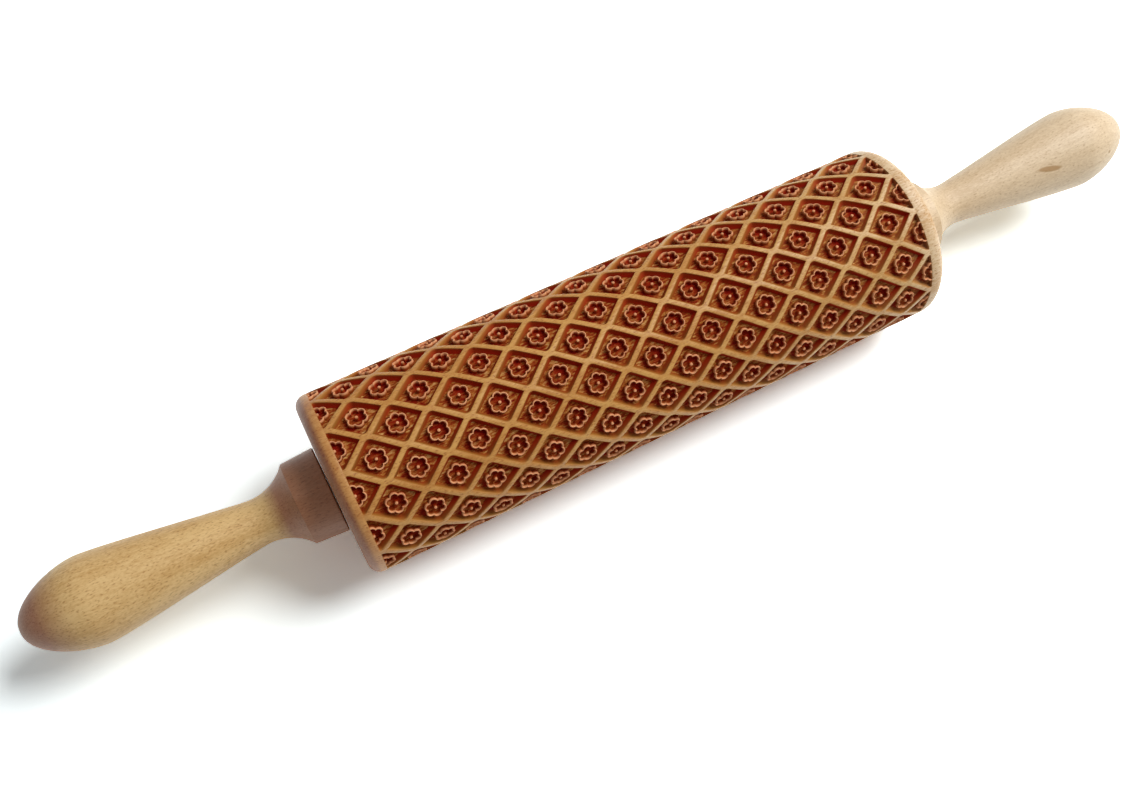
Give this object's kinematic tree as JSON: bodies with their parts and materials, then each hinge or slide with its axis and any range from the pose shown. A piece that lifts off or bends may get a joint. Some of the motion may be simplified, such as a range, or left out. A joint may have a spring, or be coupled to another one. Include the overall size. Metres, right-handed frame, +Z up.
{
  "type": "embossed rolling pin",
  "caption": "Wooden rolling pin with a flower trellis carved into its roller, which turns on ball bearings between turned handles.",
  "frame": {"origin": "bottom centre of the whole pin, on the surface that the roller rests on", "axes": "+X along the pin towards the right handle of the picture, +Y away from the picture's viewer, +Z up"},
  "size_m": [0.43, 0.064, 0.0635],
  "materials": {
    "roller_beech": "sanded beech with scorched recesses",
    "handle_beech": "oiled turned beech",
    "axle_steel": "plain drawn",
    "washer_steel": "zinc plated",
    "ring_steel": "ground",
    "ball_steel": "polished",
    "shield_steel": "pressed sheet",
    "cage_nylon": "moulded"
  },
  "bodies": {
    "handle_assembly": {"handle_left": "handle_beech", "handle_right": "handle_beech", "axle_rod": "axle_steel", "spacer_washer_left": "washer_steel", "spacer_washer_right": "washer_steel", "bearing_left_inner_ring": "ring_steel", "bearing_right_inner_ring": "ring_steel"},
    "roller_assembly": {"roller": "roller_beech", "bearing_left_outer_ring": "ring_steel", "bearing_left_shield_inside": "shield_steel", "bearing_left_shield_outside": "shield_steel", "bearing_right_outer_ring": "ring_steel", "bearing_right_shield_inside": "shield_steel", "bearing_right_shield_outside": "shield_steel"},
    "cage_left_assembly": {"bearing_left_cage": "cage_nylon", "bearing_left_ball_1": "ball_steel", "bearing_left_ball_2": "ball_steel", "bearing_left_ball_3": "ball_steel", "bearing_left_ball_4": "ball_steel", "bearing_left_ball_5": "ball_steel", "bearing_left_ball_6": "ball_steel", "bearing_left_ball_7": "ball_steel"},
    "cage_right_assembly": {"bearing_right_cage": "cage_nylon", "bearing_right_ball_1": "ball_steel", "bearing_right_ball_2": "ball_steel", "bearing_right_ball_3": "ball_steel", "bearing_right_ball_4": "ball_steel", "bearing_right_ball_5": "ball_steel", "bearing_right_ball_6": "ball_steel", "bearing_right_ball_7": "ball_steel"}
  },
  "joints": [
    {"name": "roller_spin", "type": "hinge", "parent": "handle_assembly", "child": "roller_assembly", "pos_m": [0, 0, 0.03177], "axis": [1, 0, 0], "continuous": true},
    {"name": "cage_left_spin", "type": "hinge", "parent": "handle_assembly", "child": "cage_left_assembly", "pos_m": [-0.1065, 0, 0.03177], "axis": [1, 0, 0], "continuous": true},
    {"name": "cage_right_spin", "type": "hinge", "parent": "handle_assembly", "child": "cage_right_assembly", "pos_m": [0.1065, 0, 0.03177], "axis": [1, 0, 0], "continuous": true}
  ],
  "couplings": [
    {"joint": "cage_left_spin", "follows": "roller_spin", "ratio": 0.6323},
    {"joint": "cage_right_spin", "follows": "roller_spin", "ratio": 0.6323}
  ]
}
